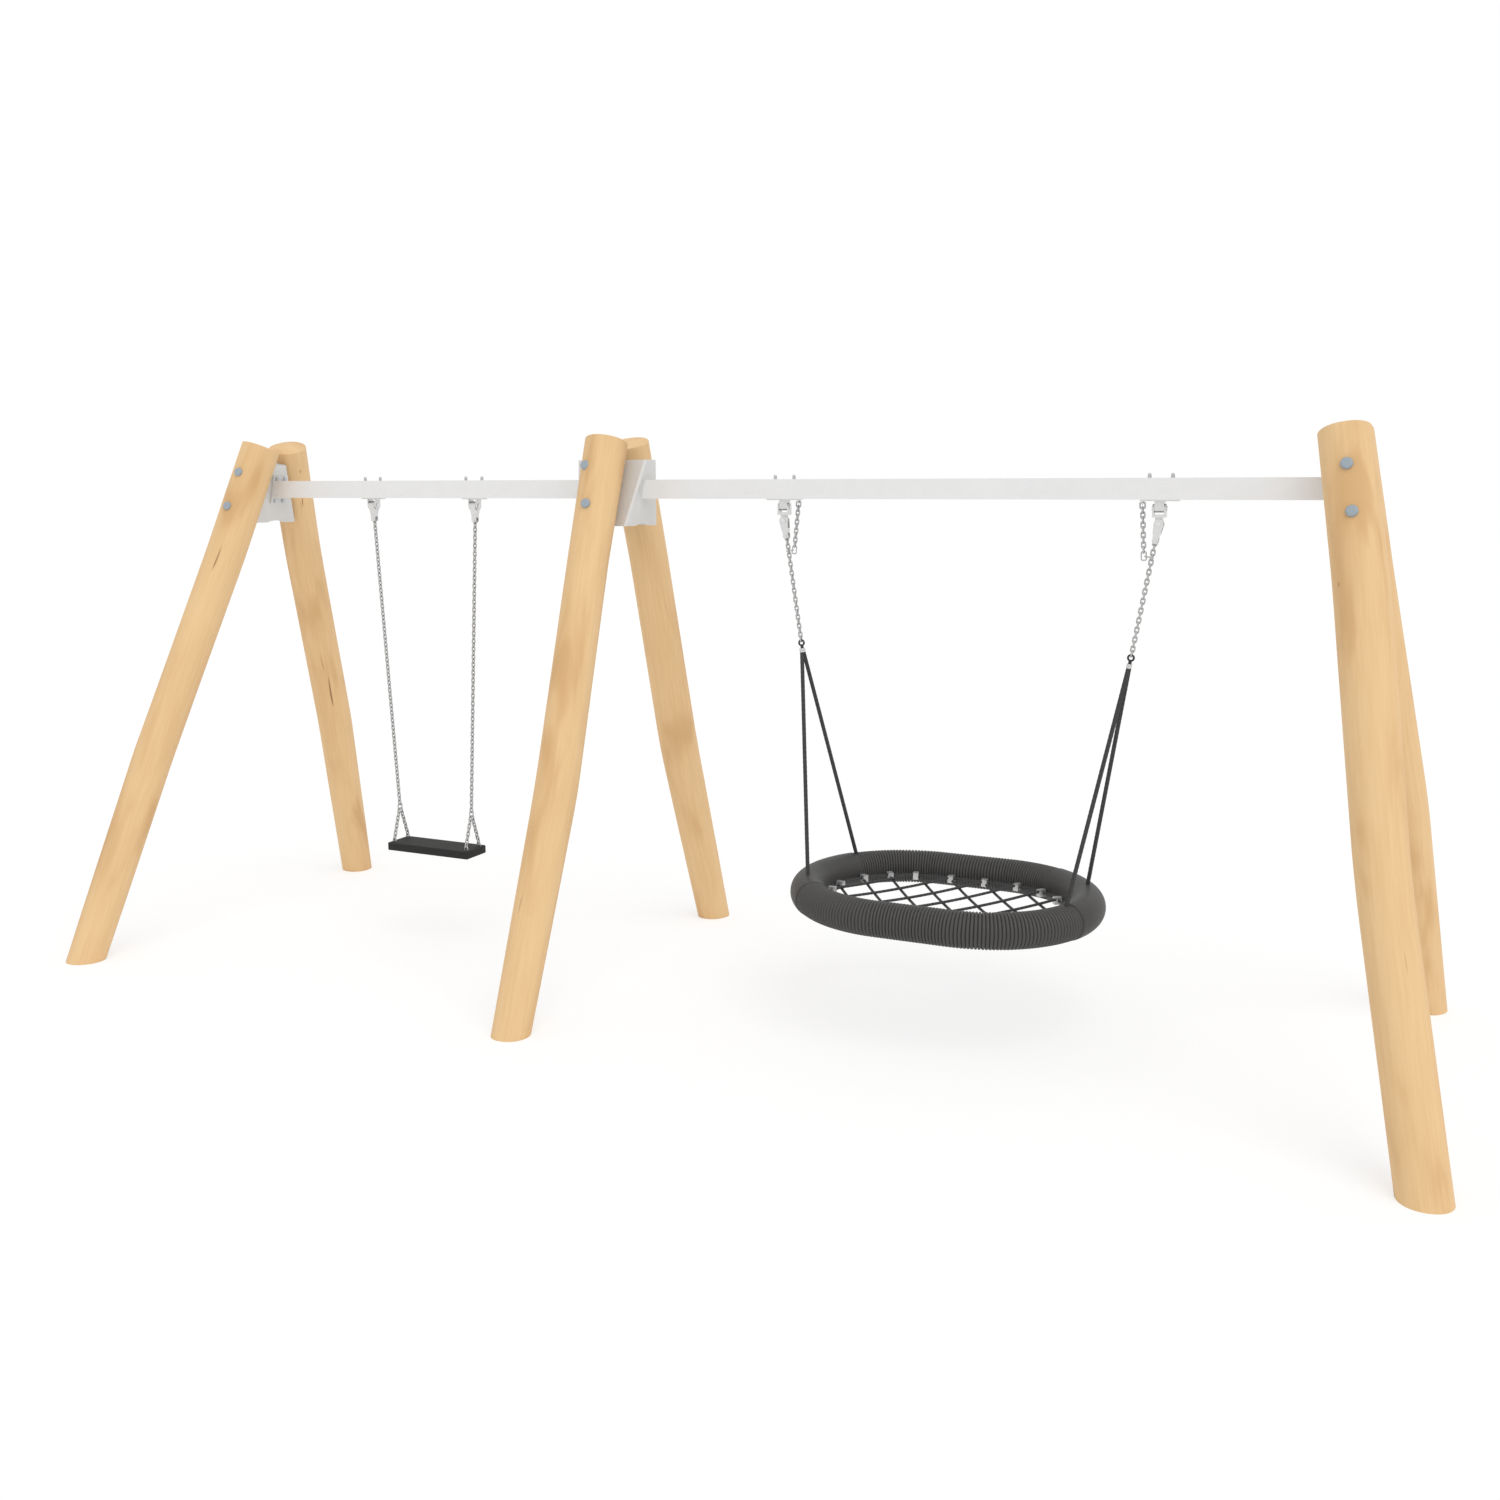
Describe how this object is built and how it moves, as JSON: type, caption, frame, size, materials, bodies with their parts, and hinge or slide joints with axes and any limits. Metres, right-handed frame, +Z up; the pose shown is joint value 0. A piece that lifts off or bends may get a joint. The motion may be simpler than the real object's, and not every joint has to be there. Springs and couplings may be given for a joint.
{
  "type": "swing set",
  "caption": "Playground swing set with log A-frames, square metal beams, a single rubber seat on chains and an oval nest seat with a rope net.",
  "frame": {"origin": "on the ground, at the middle of the overall length and depth", "axes": "+X along the beams towards the nest bay, +Y from front to rear, +Z up"},
  "size_m": [5.8895, 2.0968, 2.4025],
  "materials": {
    "timber": "peeled, sanded and oiled round log",
    "bracket_zinc": "hot-dip galvanised, matt",
    "beam_zinc": "hot-dip galvanised and coated light grey",
    "flange_zinc": "hot-dip galvanised, matt",
    "bolt_steel": "zinc plated",
    "cap_plastic": "moulded cap, satin",
    "hanger_steel": "stainless steel, satin",
    "pin_steel": "stainless steel, polished",
    "bush_brass": "plain bearing",
    "chain_steel": "stainless short-link chain, satin",
    "seat_rubber": "moulded rubber",
    "insert_aluminium": "plate inside the rubber",
    "eye_plastic": "coated rope eye, matt black",
    "clamp_aluminium": "pressed, bare",
    "rope_fibre": "braided over steel strands, black",
    "core_steel": "galvanised tube",
    "cover_ribbed": "rope-wound soft cover",
    "cover_smooth": "smooth soft sleeve"
  },
  "bodies": {
    "frame": {"post_left_front": "timber", "post_left_rear": "timber", "post_middle_front": "timber", "post_middle_rear": "timber", "post_right_front": "timber", "post_right_rear": "timber", "bracket_left": "bracket_zinc", "bracket_middle": "bracket_zinc", "bracket_right": "bracket_zinc", "beam_left": "beam_zinc", "beam_right": "beam_zinc", "beam_flanges": "flange_zinc", "beam_end_plates": "flange_zinc", "beam_bolts": "bolt_steel", "post_bolts": "bolt_steel", "post_bolt_nuts": "bolt_steel", "post_bolt_caps": "cap_plastic", "hanger_cap_nuts": "bolt_steel", "seat_hanger_left": "hanger_steel", "seat_hanger_right": "hanger_steel", "seat_pivot_pins": "pin_steel", "nest_hanger_left": "hanger_steel", "nest_hanger_right": "hanger_steel", "safety_anchor_links": "chain_steel"},
    "seat": {"seat_yokes": "hanger_steel", "seat_bushes": "bush_brass", "seat_clevises": "hanger_steel", "seat_clevis_pins": "pin_steel", "seat_chain_left": "chain_steel", "seat_chain_right": "chain_steel", "seat_split_links": "chain_steel", "seat_bridle_chains": "chain_steel", "seat_eyes": "chain_steel", "seat_rubber": "seat_rubber", "seat_insert": "insert_aluminium"},
    "nest_yokes": {"nest_yoke_left": "hanger_steel", "nest_yoke_right": "hanger_steel", "nest_swing_pins": "pin_steel", "nest_sway_pins": "pin_steel"},
    "nest_arm_left": {"nest_fork_left": "hanger_steel", "nest_clevis_left": "hanger_steel", "nest_chain_left": "chain_steel", "safety_connector_left": "chain_steel"},
    "nest_arm_right": {"nest_fork_right": "hanger_steel", "nest_clevis_right": "hanger_steel", "nest_chain_right": "chain_steel", "safety_connector_right": "chain_steel"},
    "basket": {"rope_eyes": "eye_plastic", "rope_ferrules": "clamp_aluminium", "nest_ropes": "rope_fibre", "ring_core": "core_steel", "ring_cover_front": "cover_ribbed", "ring_cover_rear": "cover_ribbed", "ring_sleeve_left": "cover_smooth", "ring_sleeve_right": "cover_smooth", "net_border": "rope_fibre", "net_ropes": "rope_fibre", "net_clamps": "clamp_aluminium"},
    "safety_left": {"safety_chain_left": "chain_steel"},
    "safety_right": {"safety_chain_right": "chain_steel"}
  },
  "joints": [
    {"name": "seat_swing", "type": "hinge", "parent": "frame", "child": "seat", "pos_m": [-1.5385, 0, 2.096], "axis": [1, 0, 0], "range_deg": [-60, 60]},
    {"name": "nest_swing", "type": "hinge", "parent": "frame", "child": "nest_yokes", "pos_m": [1.047, 0, 2.098], "axis": [1, 0, 0], "range_deg": [-60, 60]},
    {"name": "nest_sway", "type": "hinge", "parent": "nest_yokes", "child": "nest_arm_left", "pos_m": [0.29, 0, 2.041], "axis": [0, 1, 0], "range_deg": [-6, 6]},
    {"name": "nest_sway_right", "type": "hinge", "parent": "nest_yokes", "child": "nest_arm_right", "pos_m": [1.804, 0, 2.041], "axis": [0, 1, 0], "range_deg": [-6, 6]},
    {"name": "basket_tilt", "type": "hinge", "parent": "nest_arm_left", "child": "basket", "pos_m": [0.36909, 0, 1.54163], "axis": [0, 1, 0], "range_deg": [-6.8, 6.8]},
    {"name": "safety_sway_left", "type": "hinge", "parent": "nest_yokes", "child": "safety_left", "pos_m": [0.352, 0, 2.098], "axis": [0, 1, 0], "range_deg": [-4.5, 4.5]},
    {"name": "safety_sway_right", "type": "hinge", "parent": "nest_yokes", "child": "safety_right", "pos_m": [1.742, 0, 2.098], "axis": [0, 1, 0], "range_deg": [-4.5, 4.5]}
  ],
  "couplings": [
    {"joint": "nest_sway_right", "follows": "nest_sway", "ratio": 1},
    {"joint": "basket_tilt", "follows": "nest_sway", "ratio": -1.1167},
    {"joint": "safety_sway_left", "follows": "nest_sway", "ratio": 0.6556},
    {"joint": "safety_sway_right", "follows": "nest_sway", "ratio": 0.6556}
  ]
}
